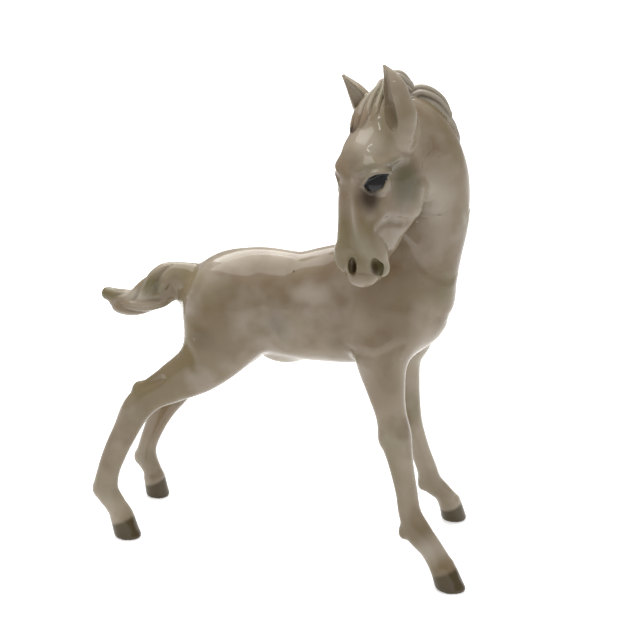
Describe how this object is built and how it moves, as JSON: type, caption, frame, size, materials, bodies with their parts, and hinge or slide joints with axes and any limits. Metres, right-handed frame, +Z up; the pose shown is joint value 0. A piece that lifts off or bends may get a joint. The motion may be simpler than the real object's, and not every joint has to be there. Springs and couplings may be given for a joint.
{
  "type": "horse figurine",
  "caption": "Glazed porcelain foal standing free on splayed legs, its head turned to one side and its tail lifted, for display on a shelf or table.",
  "frame": {"origin": "middle of the figure's box, on the ground plane under its hooves", "axes": "+X towards the chest, +Y to the foal's left, +Z up"},
  "size_m": [0.1394, 0.0718, 0.176],
  "materials": {
    "glazed_porcelain": "clear gloss glaze over cream porcelain with soft grey and brown underglaze tints",
    "tinted_porcelain": "clear gloss glaze over porcelain tinted grey green and brown"
  },
  "bodies": {
    "root": {"trunk": "glazed_porcelain", "neck": "glazed_porcelain", "head": "glazed_porcelain", "right_hind_leg": "glazed_porcelain", "left_hind_leg": "glazed_porcelain", "right_fore_leg": "glazed_porcelain", "left_fore_leg": "glazed_porcelain", "tail": "glazed_porcelain", "left_ear": "glazed_porcelain", "right_ear": "glazed_porcelain", "forelock": "tinted_porcelain", "poll_tuft": "tinted_porcelain", "upper_mane_lock": "tinted_porcelain", "lower_mane_lock": "tinted_porcelain"}
  },
  "joints": []
}
